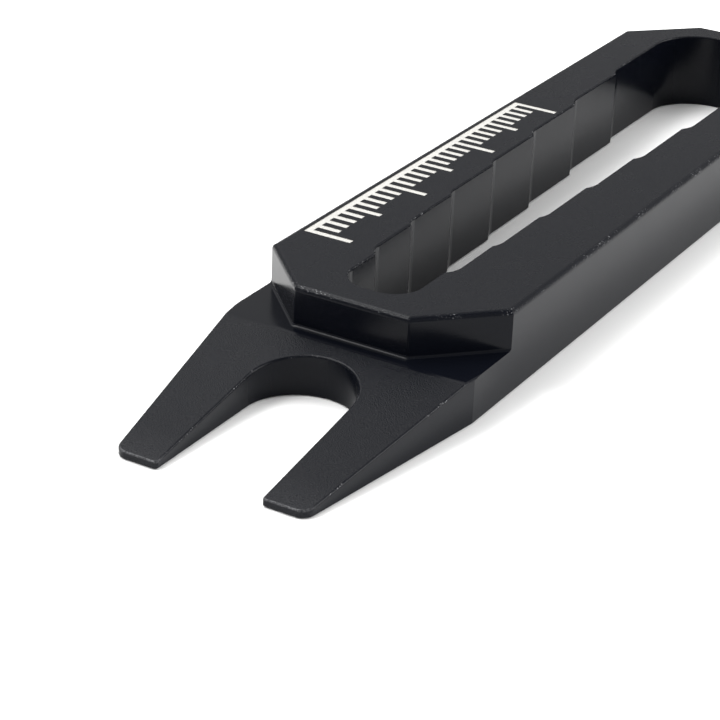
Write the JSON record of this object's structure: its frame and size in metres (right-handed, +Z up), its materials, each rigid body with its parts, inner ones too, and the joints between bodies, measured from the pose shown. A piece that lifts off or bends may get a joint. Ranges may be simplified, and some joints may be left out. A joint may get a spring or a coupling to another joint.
{
  "type": "fork-ended pry tool",
  "caption": "Flat black aluminium hand tool milled in one piece: forked wedge end with a U notch, and a raised handle with a through slot that widens in steps.",
  "frame": {"origin": "middle of the flat underside, at the bottom centre of the bounding box", "axes": "+X from the fork's tips to the handle's far end, +Y across the handle towards the bar with the graduated scale, +Z up from the underside"},
  "size_m": [0.08, 0.018, 0.006],
  "materials": {
    "black_anodised": "fine bead-blasted and black anodised aluminium, satin"
  },
  "bodies": {
    "root": {"tool_body": "black_anodised"}
  },
  "joints": []
}
